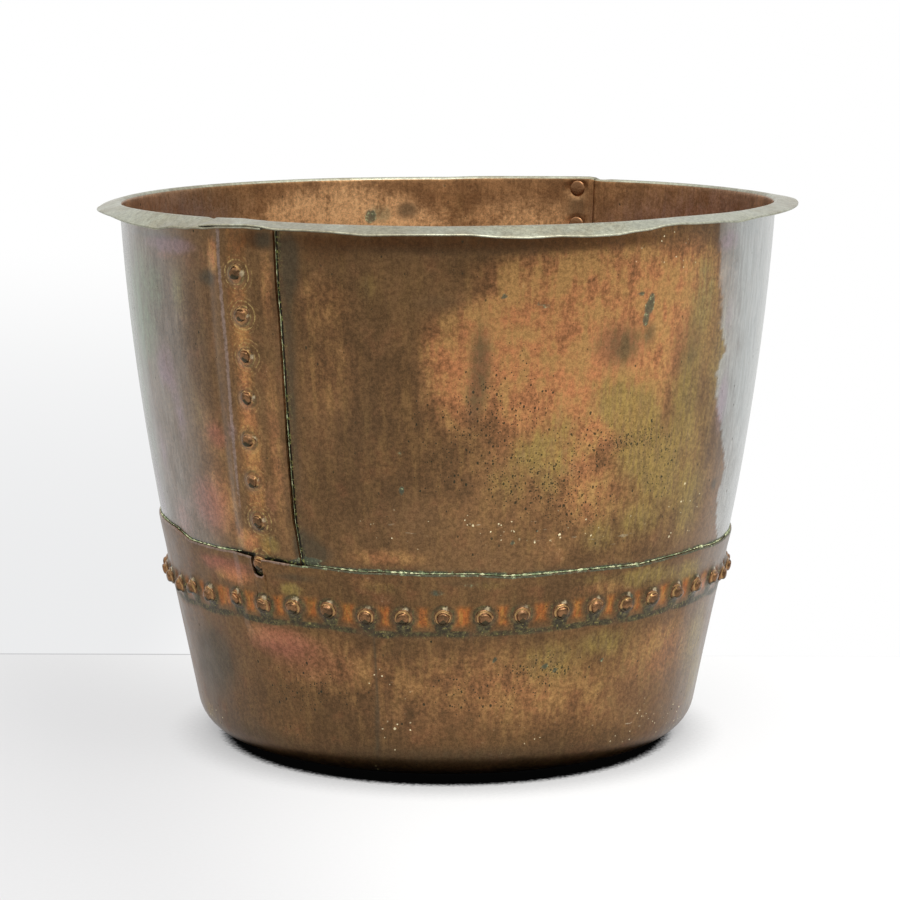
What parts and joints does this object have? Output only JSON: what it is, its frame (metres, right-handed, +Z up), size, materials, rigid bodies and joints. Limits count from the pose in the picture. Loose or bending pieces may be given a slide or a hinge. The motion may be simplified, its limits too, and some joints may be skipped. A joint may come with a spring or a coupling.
{
  "type": "laundry copper",
  "caption": "Round-bottomed open copper wash boiler of riveted sheets, with a drooping flange that hangs it in a brick setting over a fire.",
  "frame": {"origin": "middle of the flat underside of the pan, where it stands on the ground", "axes": "+Z up along the vessel's axis, -Y towards the viewer of the picture, +X to that viewer's right"},
  "size_m": [0.5597, 0.5602, 0.4299],
  "materials": {
    "wall_copper": "old hammered copper sheet with brown patina and green stains",
    "pan_copper": "old copper sheet, warmer brown and scratched",
    "rivet_copper": "hammered copper, rubbed bright on the high spots"
  },
  "bodies": {
    "root": {"base_pan": "pan_copper", "left_wall_sheet": "wall_copper", "right_wall_sheet": "wall_copper", "girth_rivets": "rivet_copper", "seam_crossing_rivets": "rivet_copper", "front_seam_rivets": "rivet_copper", "back_seam_rivets": "rivet_copper"}
  },
  "joints": []
}
